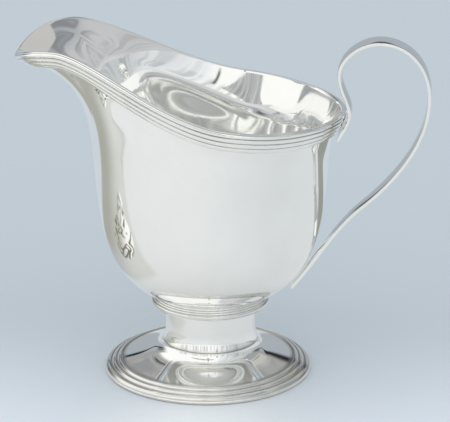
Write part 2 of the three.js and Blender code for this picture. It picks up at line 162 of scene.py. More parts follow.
# Fineness
RIM_STEPS = (56, 44, 36)
BAND_ROWS = 12
WALL_ROWS = 30
BASE_ROWS = 44
WALL_SAMPLES = 161
REED_STEPS = 12
ROLL_STEPS = 22
STRAP_STEPS = 260
STRAP_SAMPLES = 400
STRAP_CROWN_POINTS = 9
CORNER_STEPS = 5
SHARP_BOWL = 40  # degrees above which an edge shows
SHARP_SHELL = 50
SHARP_WIRE = 55
SHARP_REEDS = 60
BEAD_STEPS = 14
FINE_REED_STEPS = 10
COLLAR_SEAT_POINTS = 6
STEM_HEAD_POINTS = 17
STEM_POINTS = 6
STEM_FLARE_POINTS = 13
SPREAD_POINTS = 41
FOOT_EDGE_POINTS = 9
LATHE_STEPS = 256
SAME_PLACE = 1e-7  # in metres; points nearer than this are one
TINY = 1e-9

# Evening out of the bowl's wall below the band, in rows and rounds
EVEN_FIRST_ROW = BAND_ROWS + 6
EVEN_END_ROWS = 14  # rows at the bottom that stay as they are
EVEN_FADE_ROUNDS = 20
EVEN_ROUNDS = 30
EVEN_STEP = 0.5

foot_low, foot_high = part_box("foot")
AXIS_X = (foot_low.x + foot_high.x) / 2 / MM  # the foot's axis in the frame


def mix(a, b, t):
    return a + (b - a) * t


def ease(a, b, t):
    return mix(a, b, t * t * (3 - 2 * t))


def bezier(points, t):
    """Places on a cubic curve, one row for each value of t."""
    p = np.asarray(points, float)
    t = np.asarray(t, float)[..., None]
    s = 1 - t
    return s**3 * p[0] + 3 * s**2 * t * p[1] + 3 * s * t**2 * p[2] + t**3 * p[3]


def unit(v):
    return v / np.linalg.norm(v, axis=-1, keepdims=True)


def slope(points, t):
    """Directions of a cubic curve, as unit vectors."""
    p = np.asarray(points, float)
    t = np.asarray(t, float)[..., None]
    s = 1 - t
    return unit(3 * s**2 * (p[1] - p[0]) + 6 * s * t * (p[2] - p[1]) + 3 * t**2 * (p[3] - p[2]))


def run_along(places):
    """Length of a row of points up to each of them."""
    return np.concatenate([[0], np.cumsum(np.linalg.norm(np.diff(places, axis=0), axis=1))])


def grid_faces(rows, columns, round_rows):
    """Four-sided faces of a grid of points whose columns close on themselves, and its rows if asked."""
    faces = []
    for i in range(rows if round_rows else rows - 1):
        for j in range(columns):
            here, there = i * columns, (i + 1) % rows * columns
            k = (j + 1) % columns
            faces.append((here + j, here + k, there + k, there + j))
    return faces


def make(name, points, faces, recess, sharp):
    """A smooth mesh object in metres, from millimetres measured from the foot's axis.

    Recess says from 0 to 1 how deep each point lies in a groove, and sharp is the angle in
    degrees above which an edge shows.
    """
    points = np.asarray(points, float).reshape(-1, 3) + (AXIS_X, 0, 0)
    mesh = bpy.data.meshes.new(name)
    mesh.from_pydata((points * MM).tolist(), [], faces)
    layer = mesh.attributes.new("recess", "FLOAT", "POINT")
    layer.data.foreach_set("value", np.asarray(recess, np.float32).ravel())
    work = bmesh.new()
    work.from_mesh(mesh)
    bmesh.ops.remove_doubles(work, verts=work.verts, dist=SAME_PLACE)
    bmesh.ops.recalc_face_normals(work, faces=work.faces)
    if work.calc_volume(signed=True) < 0:
        bmesh.ops.reverse_faces(work, faces=work.faces)
    work.to_mesh(mesh)
    work.free()
    obj = bpy.data.objects.new(name, mesh)
    bpy.context.scene.collection.objects.link(obj)
    mesh.shade_smooth()
    mesh.set_sharp_from_angle(angle=math.radians(sharp))
    return obj


FULL_RECESS = 0.5  # sine of the bend that counts as a full recess
RECESS_SPREAD = 0.45  # share of a recess that its neighbours get


def recess_of(outline):
    """How deep each point of a closed outline lies between its neighbours, from 0 to 1."""
    p = np.asarray(outline, float)
    bend = np.zeros(len(p))
    for i, here in enumerate(p):
        a, b = p[i - 1] - here, p[(i + 1) % len(p)] - here
        lengths = np.linalg.norm(a) * np.linalg.norm(b)
        if lengths > TINY:
            bend[i] = np.clip((a[0] * b[1] - a[1] * b[0]) / lengths / FULL_RECESS, -1, 1)
    area = np.sum(p[:, 0] * np.roll(p[:, 1], -1) - np.roll(p[:, 0], -1) * p[:, 1])
    recess = np.clip(-bend if area > 0 else bend, 0, 1)
    beside = np.maximum(np.roll(recess, 1), np.roll(recess, -1))
    return np.maximum(recess, RECESS_SPREAD * beside)


def leaning(points):
    """How far points at these heights lie behind the foot's axis."""
    height = FOOT_TOP - FOOT_WIRE_INNER_HEIGHT
    return ease(0, STEM_OFFSET, np.clip((points[..., 2] - FOOT_WIRE_INNER_HEIGHT) / height, 0, 1))


def turned(name, outline, sharp):
    """A round piece from a closed outline of (radius, height)."""
    radius, height = np.array(outline, float).T
    turns = np.linspace(0, 2 * math.pi, LATHE_STEPS, endpoint=False)[:, None]
    heights = np.broadcast_to(height, (LATHE_STEPS, len(height)))
    points = np.stack([radius * np.cos(turns), radius * np.sin(turns), heights], -1)
    points[..., 0] += leaning(points)
    recess = np.broadcast_to(recess_of(outline), heights.shape)
    return make(name, points, grid_faces(*heights.shape, True), recess, sharp)


def arc(a, b, rise, steps):
    """Points of a rounded reed between a and b, raised by rise to the left of that direction."""
    a, b = np.asarray(a, float), np.asarray(b, float)
    along = b - a
    side = np.array([-along[1], along[0]]) / np.linalg.norm(along)
    turns = np.linspace(math.pi, 0, steps + 1)[1:-1]
    return [tuple(a + along * (1 + math.cos(w)) / 2 + side * rise * math.sin(w)) for w in turns]


CORNER_SHARE = 0.45  # most of a side that a rounded corner takes


def rounded(outline, radii):
    """A closed outline with its corners rounded; radii gives a radius for each corner."""
    p = [np.asarray(q, float) for q in outline]
    out = []
    for i, (corner, radius) in enumerate(zip(p, radii)):
        if radius <= 0:
            out.append(tuple(corner))
            continue
        before, after = p[i - 1] - corner, p[(i + 1) % len(p)] - corner
        cut = min(radius, CORNER_SHARE * np.linalg.norm(before), CORNER_SHARE * np.linalg.norm(after))
        start, end = corner + unit(before) * cut, corner + unit(after) * cut
        for t in np.linspace(0, 1, CORNER_STEPS + 1):
            out.append(tuple((1 - t) ** 2 * start + 2 * (1 - t) * t * corner + t**2 * end))
    return out


def rim_curves():
    back, side = np.array(RIM_BACK), np.array(RIM_SIDE)
    shoulder, tip = np.array(SHOULDER), np.array(SPOUT_TIP)
    along = np.array([-1, 0, RIM_SIDE_RISE])
    angle = SHOULDER_TURN_ANGLE
    closing = np.array([-math.cos(angle), -math.sin(angle), -SHOULDER_DROP])
    out = np.array([0, 1, 0])
    return (
        (back, back + out * BACK_PULL, side - along * SIDE_PULL_BEFORE, side),
        (side, side + along * SIDE_PULL_AFTER, shoulder - closing * SHOULDER_PULL_BEFORE, shoulder),
        (shoulder, shoulder + closing * SHOULDER_PULL_AFTER, tip + out * TIP_PULL, tip),
    )


def rim_stations():
    """Places, directions and wall forms all round the rim."""
    wall_forms = np.array([WALL_AT_BACK, WALL_AT_SIDE, WALL_AT_SHOULDER, WALL_AT_TIP], float)
    last = len(RIM_STEPS) - 1
    places, ways, forms = [], [], []
    for part, (curve, steps) in enumerate(zip(rim_curves(), RIM_STEPS)):
        t = np.arange(steps + (part == last)) / steps
        places.append(bezier(curve, t))
        ways.append(slope(curve, t))
        forms.append(ease(wall_forms[part], wall_forms[part + 1], t[:, None]))
    places, ways, forms = map(np.concatenate, (places, ways, forms))
    flip = np.array([1, -1, 1])
    places = np.concatenate([places, (places[1:-1] * flip)[::-1]])
    ways = np.concatenate([ways, (ways[1:-1] * -flip)[::-1]])
    forms = np.concatenate([forms, forms[1:-1][::-1]])
    return places, ways, forms


RIM, RIM_WAY, RIM_FORM = rim_stations()
AROUND = len(RIM)
ROUND = np.arctan2(RIM[:, 1], RIM[:, 0])  # angle of each station round the bowl's axis


def on_oval(radius, height):
    """Points all round at a distance from the bowl's axis, drawn in sideways at the belly."""
    squeeze = 1 - (1 - BELLY_SIDE_RADIUS / BELLY_RADIUS) * (radius / BELLY_RADIUS) ** 4
    x, y = radius * np.cos(ROUND), radius * squeeze * np.sin(ROUND)
    return np.stack([x, y, np.full(AROUND, height)], -1)


def wall_lines():
    """The wall from the rim down to the belly at each station, square to the rim at its top."""
    level = np.zeros(AROUND)
    lean, from_rim, from_belly = RIM_FORM.T[..., None]
    belly = on_oval(BELLY_RADIUS, BELLY_HEIGHT)
    out = np.stack([np.cos(ROUND), np.sin(ROUND), level], -1)
    above = belly + (out * BELLY_TAPER + (0, 0, 1)) * from_belly
    inward = unit(np.stack([-RIM_WAY[:, 1], RIM_WAY[:, 0], level], -1))
    down = inward * np.sin(np.radians(lean)) - np.array([0, 0, 1]) * np.cos(np.radians(lean))
    down = unit(down - RIM_WAY * np.sum(down * RIM_WAY, -1, keepdims=True))
    return down, np.stack([RIM, RIM + down * from_rim, above, belly], 1)


RIM_DOWN, WALL = wall_lines()


def upper_rows():
    """Points of the wall from the rim to the belly: even rows on the band, then even rows below it."""
    fine = np.linspace(0, 1, WALL_SAMPLES)
    on_the_band = np.linspace(0, BAND, BAND_ROWS + 1)[:-1]
    rows = []
    for wall in WALL:
        run = run_along(bezier(wall, fine))
        at = np.concatenate([on_the_band, np.linspace(BAND, run[-1], WALL_ROWS + 1)])
        rows.append(bezier(wall, np.interp(at, run, fine)))
    return np.stack(rows)


def lower_rows():
    """Points of the wall from the belly to the middle of the bottom."""
    profile = (
        (BELLY_RADIUS, BELLY_HEIGHT),
        (BELLY_RADIUS - BELLY_TAPER * WALL_RUN_LENGTH, BELLY_HEIGHT - WALL_RUN_LENGTH),
        (BASE_FLAT_RADIUS, BOWL_BOTTOM),
        (0, BOWL_BOTTOM),
    )
    places = bezier(profile, np.linspace(0, 1, BASE_ROWS + 1)[1:])
    return np.stack([on_oval(radius, height) for radius, height in places], 1)


def even_out(rows):
    """Evens out the wall where its two halves meet; the band and the bottom stay."""
    weight = np.zeros(rows.shape[1])
    weight[EVEN_FIRST_ROW:-EVEN_END_ROWS] = 1
    for _ in range(EVEN_FADE_ROUNDS):
        weight[1:-1] = (weight[:-2] + 2 * weight[1:-1] + weight[2:]) / 4
    weight[: BAND_ROWS + 2] = 0
    share = EVEN_STEP * weight[None, 1:-1, None]
    for _ in range(EVEN_ROUNDS):
        rows[:, 1:-1] += share * ((rows[:, :-2] + rows[:, 2:]) / 2 - rows[:, 1:-1])
    return rows


def outward(rows):
    """Unit vectors out of the bowl at every point of a face."""
    around = np.roll(rows, -1, 0) - np.roll(rows, 1, 0)
    down = np.empty_like(rows)
    down[:, 1:-1] = rows[:, 2:] - rows[:, :-2]
    down[:, 0] = rows[:, 1] - rows[:, 0]
    down[:, -1] = rows[:, -1] - rows[:, -2]
    normal = np.cross(around, -down)
    normal[:, -1] = (0, 0, -1)
    return unit(normal)


# The bowl's outer face, as rows of points from the rim to the bottom at each station
FACE = even_out(np.concatenate([upper_rows(), lower_rows()], 1))
NORMAL = outward(FACE)


def at_edge(out, below):
    """Points beside the rim all round, out from the face and below the rim."""
    return RIM + RIM_DOWN * below + NORMAL[:, 0] * out


def on_bowl(points):
    return points + np.array([BOWL_OFFSET, 0, 0])


def build_bowl():
    inner = FACE - NORMAL * SHEET
    edge = np.stack([at_edge(out, below) for out, below in BOWL_EDGE[::-1]], 1)
    rings = np.concatenate([edge, FACE[:, 1:], inner[:, :0:-1]], 1)
    faces = grid_faces(AROUND, rings.shape[1], True)
    return make("bowl_shell", on_bowl(rings), faces, np.zeros(rings.shape[:2]), SHARP_BOWL)


def wire_section():
    """Section of the rim wire as (distance out from the bowl, distance below the rim)."""
    outline = [(WIRE_FILM, BAND), (REED_BASE / 2, BAND + WIRE_FILM)]
    grooves = [(REED_BASE if i else REED_BASE / 2, below) for i, below in enumerate(REED_GROOVES)]
    for a, b in zip(grooves, grooves[1:]):
        outline += arc(a, b, REED_RISE, REED_STEPS) + [b]
    top = (WIRE_FILM, ROLL_TOP)
    outline += arc(grooves[-1], top, ROLL_RISE, ROLL_STEPS) + [top]
    return np.array(outline)


def on_band(section):
    """The section's points in space at every station."""
    rows = []
    for out, below in section:
        if below <= 0:
            rows.append(at_edge(out, below))
            continue
        row = min(below / BAND * BAND_ROWS, BAND_ROWS - TINY)
        j = int(row)
        face = mix(FACE[:, j], FACE[:, j + 1], row - j)
        rows.append(face + unit(mix(NORMAL[:, j], NORMAL[:, j + 1], row - j)) * out)
    return np.stack(rows, 1)


# Tarnish and painted shade in the wire's grooves and along its lower edge at the bowl
GROOVE_GRIME_AND_SHADE_WIDTH = 0.16  # in millimetres along the section
GROOVE_GRIME_AND_SHADE_FROM = 0.6  # distance out from the bowl
LOWER_EDGE_GRIME_AND_SHADE = 0.8


def build_rim_wire():
    section = wire_section()
    out, below = section.T
    recess = np.zeros(len(section))
    # the grooves and the lower edge get tarnish and painted shade
    for groove in REED_GROOVES[1:]:
        near = np.exp(-(((below - groove) / GROOVE_GRIME_AND_SHADE_WIDTH) ** 2))
        recess = np.maximum(recess, near * (out > GROOVE_GRIME_AND_SHADE_FROM))
    recess[:2] = LOWER_EDGE_GRIME_AND_SHADE
    points = on_bowl(on_band(section))
    recess = np.broadcast_to(recess, points.shape[:2])
    return make("rim_reeding", points, grid_faces(AROUND, len(section), True), recess, SHARP_WIRE)


def strap_line():
    """Places and directions on the strap's middle line, evenly spaced, and the length up to each."""
    def ahead(stop, run):
        x, z, angle = stop[:3]
        return x + run * math.cos(math.radians(angle)), z + run * math.sin(math.radians(angle))

    def evenly(values):
        return np.stack([np.interp(at, run, column) for column in values.T], -1)

    fine = np.linspace(0, 1, STRAP_SAMPLES)[:-1]
    places, ways = [], []
    for a, b in zip(STRAP_STOPS, STRAP_STOPS[1:]):
        curve = (ahead(a, 0), ahead(a, a[4]), ahead(b, -b[3]), ahead(b, 0))
        places.append(bezier(curve, fine))
        ways.append(slope(curve, fine))
    places = np.concatenate([*places, bezier(curve, [1])])
    ways = np.concatenate([*ways, slope(curve, [1])])
    run = run_along(places)
    at = np.linspace(0, run[-1], STRAP_STEPS + 1)
    return evenly(places), unit(evenly(ways)), at


def strap_section(half):
    """Rounded bar, crowned on both faces, as (across, outward)."""
    low, high = -STRAP_THICKNESS / 2, STRAP_THICKNESS / 2
    shares = np.linspace(-STRAP_CROWN_REACH, STRAP_CROWN_REACH, STRAP_CROWN_POINTS)
    inner = [(half * s, low + STRAP_INNER_CROWN * s * s) for s in shares]
    outer = [(half * s, high - STRAP_CROWN * s * s) for s in shares[::-1]]
    near, far = low + STRAP_INNER_CROWN, high - STRAP_CROWN
    outline = [(-half, near), *inner, (half, near), (half, far), *outer, (-half, far)]
    flat = [0] * STRAP_CROWN_POINTS
    radii = [STRAP_INNER_RADIUS, *flat, STRAP_INNER_RADIUS, STRAP_OUTER_RADIUS, *flat, STRAP_OUTER_RADIUS]
    return np.array(rounded(outline, radii))


def build_handle():
    place, way, run = strap_line()
    side = np.stack([-way[:, 1], way[:, 0]], -1)
    lower = np.clip((run / run[-1] - STRAP_NARROWS) / (1 - STRAP_NARROWS), 0, 1)
    half = ease(STRAP_WIDTH, STRAP_END_WIDTH, lower) / 2
    rings = []
    for i in range(len(run)):
        across, outwards = strap_section(half[i]).T
        x, z = place[i, :, None] + side[i, :, None] * outwards
        rings.append(np.stack([x, across, z], -1))
    # the tail's end is filed round
    for i, filing in enumerate(TAIL_FILING):
        middle = rings[i].mean(0)
        rings[i] = middle + (rings[i] - middle) * (1 - filing * np.array(TAIL_FILING_WAYS))
    rings = np.stack(rings)
    count = rings.shape[1]
    faces = grid_faces(len(rings), count, False)
    faces.append(tuple(range(count))[::-1])
    faces.append(tuple(range((len(rings) - 1) * count, len(rings) * count)))
    return make("handle_strap", rings, faces, np.zeros(rings.shape[:2]), SHARP_SHELL)


def underside(radius):
    """Height of the bowl's underside at a distance from its axis."""
    bottom = FACE[0, -(BASE_ROWS + 1) :]
    distance = np.hypot(bottom[:, 0], bottom[:, 1])
    return float(np.interp(radius, distance[::-1], bottom[::-1, 2]))


def seat(radius):
    """Height of what seats under the bowl, at a distance from the stem's axis."""
    return underside(radius + BOWL_OFFSET - STEM_OFFSET) + SOLDER


def build_collar():
    bore = STEM_RADIUS - STEM_WALL + SOLDER
    base = (COLLAR_RADIUS - COLLAR_BEAD_BULGE, COLLAR_BASE)
    bead_top = (base[0], COLLAR_BASE + COLLAR_BEAD_HEIGHT)
    outline = [(bore, COLLAR_BASE), base]
    outline += arc(base, bead_top, -COLLAR_BEAD_BULGE, BEAD_STEPS) + [bead_top]
    top = (COLLAR_TOP_RADIUS, seat(COLLAR_TOP_RADIUS))
    for i in range(1, COLLAR_REED_COUNT + 1):
        share = i / COLLAR_REED_COUNT
        to = (mix(bead_top[0], top[0], share), mix(bead_top[1], top[1], share))
        outline += arc(outline[-1], to, -COLLAR_REED_RISE, FINE_REED_STEPS) + [to]
    for radius in np.linspace(COLLAR_TOP_RADIUS, bore, COLLAR_SEAT_POINTS)[1:]:
        outline.append((radius, seat(radius)))
    return turned("collar_ring", outline, SHARP_REEDS)


def build_stem():
    spigot = STEM_RADIUS - STEM_WALL
    bore = spigot - STEM_WALL
    head = COLLAR_BASE - SOLDER
    neck = head - STEM_HEAD_DROP
    base = FOOT_TOP + SOLDER
    hollow = STEM_HEAD_RADIUS - STEM_RADIUS
    outline = [(spigot, seat(spigot)), (spigot, head), (STEM_HEAD_RADIUS, head)]
    for w in np.linspace(0, math.pi / 2, STEM_HEAD_POINTS)[1:]:
        drop = STEM_HEAD_DROP * (1 - math.cos(w))
        outline.append((STEM_HEAD_RADIUS - hollow * math.sin(w), head - drop))
    for t in np.linspace(0, 1, STEM_POINTS)[1:-1]:
        outline.append((STEM_RADIUS, mix(neck, STEM_WAIST, t)))
    for t in np.linspace(0, 1, STEM_FLARE_POINTS):
        outline.append((STEM_RADIUS + STEM_FLARE * t**2, mix(STEM_WAIST, base, t)))
    outline.append((STEM_RADIUS + STEM_FLARE - STEM_WALL, base))
    outline += [(spigot, STEM_WAIST), (spigot, neck)]
    outline += [(bore, head - STEM_HEAD_DROP / 2), (bore, seat(bore))]
    return turned("stem_tube", outline, SHARP_SHELL)


SHELL_SKIP = 3  # points of the shell's inner face left out beside its spigot


def build_foot():
    start = STEM_RADIUS + STEM_FLARE
    spigot = start - STEM_WALL - SOLDER
    bore = spigot - FOOT_WALL
    radius, height = FOOT_WIRE_INNER_RADIUS, FOOT_WIRE_INNER_HEIGHT
    curve = (
        (start, FOOT_TOP),
        (start + SPREAD_FLARE, SPREAD_ELBOW),
        (radius - SPREAD_RUN, height + SPREAD_RISE),
        (radius, height),
    )
    t = np.linspace(0, 1, SPREAD_POINTS)
    upper = bezier(curve, t)
    way = slope(curve, t)
    lower = upper + np.stack([way[:, 1], -way[:, 0]], -1) * FOOT_WALL
    ledge = height - FOOT_EDGE
    edge_radius, edge = radius + FOOT_WIRE_SEAT, ledge - FOOT_EDGE / 2
    top = FOOT_TOP + SPIGOT
    outline = [(bore, top), (spigot - STEM_FLARE / 2, top), (spigot, FOOT_TOP)]
    outline += [*upper, (radius, ledge), (edge_radius, edge)]
    outline += [(edge_radius, edge - FOOT_WALL), (radius, ledge - FOOT_WALL)]
    outline += [*lower[SHELL_SKIP:-1][::-1], (bore, FOOT_TOP - FOOT_WALL)]
    return turned("foot_shell", outline, SHARP_SHELL)


def build_foot_wire():
    inner = (FOOT_WIRE_INNER_RADIUS + SOLDER, FOOT_WIRE_INNER_HEIGHT)
    outer = (FOOT_RADIUS - FOOT_CHAMFER / 2, FOOT_EDGE)
    bore = inner[0] + FOOT_WIRE_SEAT
    outline = [(bore, 0), (FOOT_RADIUS - FOOT_CHAMFER, 0)]
    for t in np.linspace(0, 1, FOOT_EDGE_POINTS):
        angle = math.radians(mix(-FOOT_EDGE_SWING, FOOT_EDGE_SWING, t))
        bulge = FOOT_CHAMFER * (1 - math.cos(angle))
        outline.append((FOOT_RADIUS - bulge, mix(FOOT_EDGE_MARGIN, FOOT_EDGE - FOOT_EDGE_MARGIN, t)))
    grooves = [(mix(inner[0], outer[0], t), mix(inner[1], outer[1], t)) for t in (1, *FOOT_GROOVES, 0)]
    outline.append(grooves[0])
    for a, b in zip(grooves, grooves[1:]):
        outline += arc(a, b, -FOOT_REED_RISE, FINE_REED_STEPS) + [b]
    ledge = inner[1] - FOOT_EDGE + SOLDER
    outline += [(inner[0], ledge), (bore, ledge - FOOT_EDGE / 2)]
    return turned("foot_reeding", outline, SHARP_REEDS)


class Nodes:
    """Small helper that adds nodes and joins them."""

    def __init__(self, tree):
        self.tree = tree
        tree.nodes.clear()

    def add(self, kind, inputs=None, **settings):
        node = self.tree.nodes.new(kind)
        for key, value in settings.items():
            setattr(node, key, value)
        for key, value in (inputs or {}).items():
            self.put(node.inputs[key], value)
        return node

    def put(self, socket, value):
        if isinstance(value, bpy.types.NodeSocket):
            self.tree.links.new(value, socket)
        else:
            socket.default_value = value

    def math(self, operation, *values):
        node = self.add("ShaderNodeMath", operation=operation)
        for socket, value in zip(node.inputs, values):
            self.put(socket, value)
        return node.outputs[0]

    def product(self, first, *others):
        for other in others:
            first = self.math("MULTIPLY", first, other)
        return first

    def ramp(self, value, low, high, to_low=0.0, to_high=1.0):
        """Soft change from to_low to to_high while the value goes from low to high."""
        node = self.add("ShaderNodeMapRange", interpolation_type="SMOOTHSTEP")
        for socket, v in zip(node.inputs, (value, low, high, to_low, to_high)):
            self.put(socket, v)
        return node.outputs[0]

    def fall(self, value, low, high):
        return self.ramp(value, low, high, 1.0, 0.0)

    def band(self, value, low, high, soft):
        """1 between low and high, falling to 0 within soft of either end."""
        up = self.ramp(value, low - soft, low + soft)
        return self.product(up, self.fall(value, high - soft, high + soft))

    def blend(self, share, a, b):
        node = self.add("ShaderNodeMix", data_type="RGBA")
        colours = [socket for socket in node.inputs if socket.type == "RGBA"]
        self.put(node.inputs["Factor"], share)
        self.put(colours[0], a)
        self.put(colours[1], b)
        return next(socket for socket in node.outputs if socket.type == "RGBA")

    def noise(self, place, scale, detail, roughness=0.5, distortion=0.0):
        settings = {"Scale": scale, "Detail": detail, "Roughness": roughness, "Distortion": distortion}
        return self.add("ShaderNodeTexNoise", {"Vector": place, **settings}).outputs["Fac"]

    def stretched(self, place, scale):
        return self.add("ShaderNodeMapping", {"Vector": place, "Scale": scale}).outputs[0]

    def on_oval(self, place, centre, radii):
        """The place as measured from the centre of an oval on the floor, whose edge is at 1."""
        shift = [-c / r for c, r in zip(centre, radii)]
        scale = [1 / r for r in radii]
        inputs = {"Vector": place, "Location": (*shift, 0), "Scale": (*scale, 1)}
        return self.add("ShaderNodeMapping", inputs).outputs[0]

    def length(self, vector):
        return self.add("ShaderNodeVectorMath", {0: vector}, operation="LENGTH").outputs["Value"]

    def finish(self, kind, shader):
        out = self.add(kind)
        self.put(out.inputs["Surface"], shader)


def new_material(name):
    """A material, its nodes, and the place on the object in metres."""
    material = bpy.data.materials.new(name)
    material.use_nodes = True
    nodes = Nodes(material.node_tree)
    return material, nodes, nodes.add("ShaderNodeTexCoord").outputs["Object"]


SILVER = (0.955, 0.957, 0.95, 1)
FILM = (0.82, 0.815, 0.795, 1)
# darker silver in the recesses: tarnish, and painted shade
GRIME_AND_SHADE = (0.47, 0.455, 0.41, 1)
SCRATCH_NOISE = (1.0, 4.0, 0.7)  # scale, detail and roughness
CLOUD_NOISE = (55.0, 3.0, 0.55)
SWELL_NOISE = (70.0, 1.0, 0.3)
FILM_CLOUDS = (0.35, 0.75)
FILM_SHARE = 0.3
GRIME_AND_SHADE_CLOUDS = (0.2, 0.7)
GRIME_AND_SHADE_LEAST = 0.6
ROUGH_CLOUDS = (0.3, 0.7)
ROUGH_RANGE = (0.8, 1.25)
SCRATCH_EDGES = (0.55, 0.8)
SCRATCH_ROUGHNESS = 0.05
RECESS_ROUGHNESS = 0.12
SCRATCH_DEPTH = 0.012  # as a share of the bump's height
BUMP_HEIGHT = 0.0001  # in metres


def silver(name, scratch_stretch, wave, rough):
    """Polished silver with fine wiping scratches, faint waviness, and tarnish and painted shade that
    darken the recesses.
    """
    material, n, place = new_material(name)
    scratches = n.noise(n.stretched(place, scratch_stretch), *SCRATCH_NOISE)
    clouds = n.noise(place, *CLOUD_NOISE)
    swell = n.noise(place, *SWELL_NOISE)
    recess = n.add("ShaderNodeAttribute", attribute_name="recess").outputs["Fac"]
    colour = n.blend(n.ramp(clouds, *FILM_CLOUDS, 0.0, FILM_SHARE), SILVER, FILM)
    # the recesses darken: tarnish, and painted shade where less light falls
    grime_and_shade = n.product(recess, n.ramp(clouds, *GRIME_AND_SHADE_CLOUDS, GRIME_AND_SHADE_LEAST, 1.0))
    colour = n.blend(grime_and_shade, colour, GRIME_AND_SHADE)
    base_rough = n.ramp(clouds, *ROUGH_CLOUDS, *(rough * share for share in ROUGH_RANGE))
    fine_rough = n.ramp(scratches, *SCRATCH_EDGES, 0.0, SCRATCH_ROUGHNESS)
    roughness = n.math("ADD", base_rough, fine_rough)
    roughness = n.math("ADD", roughness, n.product(recess, RECESS_ROUGHNESS))
    height = n.math("ADD", n.product(swell, wave), n.product(scratches, SCRATCH_DEPTH))
    bump = n.add("ShaderNodeBump", {"Height": height, "Strength": 1.0, "Distance": BUMP_HEIGHT})
    shader = n.add(
        "ShaderNodeBsdfPrincipled",
        {"Base Color": colour, "Metallic": 1.0, "Roughness": roughness, "Normal": bump.outputs[0]},
    )
    n.finish("ShaderNodeOutputMaterial", shader.outputs[0])
    return material


# The floor, with places and sizes in metres. The first colours are those that the camera sees.
# Painted shade: the paper that the camera sees is darker towards the back
SEEN_FLOOR_FRONT = (0.65, 0.71, 0.77, 1)
SEEN_FLOOR_BACK = (0.46, 0.52, 0.57, 1)
SEEN_FLOOR_Y = (-0.07, 0.05)
FOOT_GLOW = (0.98, 1.0, 1.0, 1)  # pale patch before the foot, as if it threw light there
FOOT_GLOW_CENTRE = (-0.005, -0.042)
FOOT_GLOW_RADIUS = 0.035
FOOT_GLOW_SHARE = 0.4
FLOOR_CLOUD = (0.5, 0.52, 0.54, 1)
FLOOR_CLOUD_NOISE = (14.0, 2.0)
FLOOR_CLOUD_EDGES = (0.4, 0.7)
FLOOR_CLOUD_SHARE = 0.06
FLOOR_GRAIN_NOISE = (900.0, 2.0)
FLOOR_GRAIN_STRENGTH = 0.15
FLOOR_ROUGHNESS = 0.8
FLOOR_SIZE = 2.5
FLOOR_DROP = 0.00005  # below the foot

# What reflections show: white paper in front, blue shade behind, darker strips left and right
WHITE_LEFT = (0.705, 0.725, 0.725, 1)
WHITE_RIGHT = (0.61, 0.64, 0.65, 1)
WHITE_X = (-0.05, 0.16)
BLUE_NEAR = (0.55, 0.60, 0.645, 1)
BLUE_FAR = (0.34, 0.38, 0.41, 1)
BLUE_Y = (0.1, 0.5)
MIDDLE_Y = (-0.05, 0.1)
LEFT_STRIP_X = (-0.055, -0.045)
LEFT_STRIP = (0.61, 0.625, 0.595, 1)
LEFT_DARK_OUTER = (0.365, 0.37, 0.33, 1)
LEFT_DARK_INNER = (0.43, 0.45, 0.475, 1)
LEFT_DARK_X = (-0.09, -0.06)
LEFT_DARK_Y = (-0.025, 0.06)
LEFT_BLUE_Y = (0.082, 0.10)
LEFT_LIMIT_Y = -0.035  # the strip's front edge, straight near the jug
LEFT_LIMIT_SLOPE = 2.45  # farther out it slants towards the front: y = slope * x + start
LEFT_LIMIT_START = 0.45
LEFT_LIMIT_FADE = (-0.008, 0.004)
LEFT_EDGE = (0.3, 0.3, 0.28, 1)
LEFT_EDGE_BAND = (-0.004, 0.003, 0.004)
LEFT_EDGE_X = (-0.20, -0.19)
LEFT_EDGE_SHARE = 0.5
RIGHT_STRIP_X = (0.025, 0.035)
RIGHT_STRIP = (0.27, 0.29, 0.255, 1)
RIGHT_STRIP_Y = (0.068, 0.074)
RIGHT_BLUE_Y = (0.130, 0.140)

# A bunch of bright and dark things lying on the left, in two ovals
THINGS_CENTRE = (-0.11196, -0.0021)
THINGS_RADII = (0.036, 0.030)
THINGS_OUTER_CENTRE = (-0.15012, -0.00602)
THINGS_OUTER_RADII = (0.027, 0.014)
THINGS_EDGE = (0.86, 1.0)
THINGS_NOISE = (0.9, 1.0, 0.5, 1.2)  # scale, detail, roughness and distortion
THINGS_WAVES = 42.0
THINGS_WAVE_EDGES = (-0.8, 0.2)
THINGS_DARK = (0.17, 0.17, 0.15, 1)
THINGS_FRONT = (0.92, 0.92, 0.88, 1)
THINGS_BACK = (0.46, 0.46, 0.40, 1)
THINGS_Y = (-0.018, 0.012)


def left_strip(n, x, y, white, blue):
    dark = n.blend(n.ramp(x, *LEFT_DARK_X), LEFT_DARK_OUTER, LEFT_DARK_INNER)
    shade = n.blend(n.ramp(y, *LEFT_DARK_Y), LEFT_STRIP, dark)
    shade = n.blend(n.ramp(y, *LEFT_BLUE_Y), shade, blue)
    limit = n.math("MULTIPLY_ADD", x, LEFT_LIMIT_SLOPE, LEFT_LIMIT_START)
    past = n.math("SUBTRACT", y, n.math("MINIMUM", limit, LEFT_LIMIT_Y))
    shade = n.blend(n.ramp(past, *LEFT_LIMIT_FADE), white, shade)
    edge = n.product(n.band(past, *LEFT_EDGE_BAND), n.fall(x, *LEFT_EDGE_X), LEFT_EDGE_SHARE)
    return n.blend(edge, shade, LEFT_EDGE)


def right_strip(n, y, white, blue):
    shade = n.blend(n.ramp(y, *RIGHT_STRIP_Y), white, RIGHT_STRIP)
    return n.blend(n.ramp(y, *RIGHT_BLUE_Y), shade, blue)


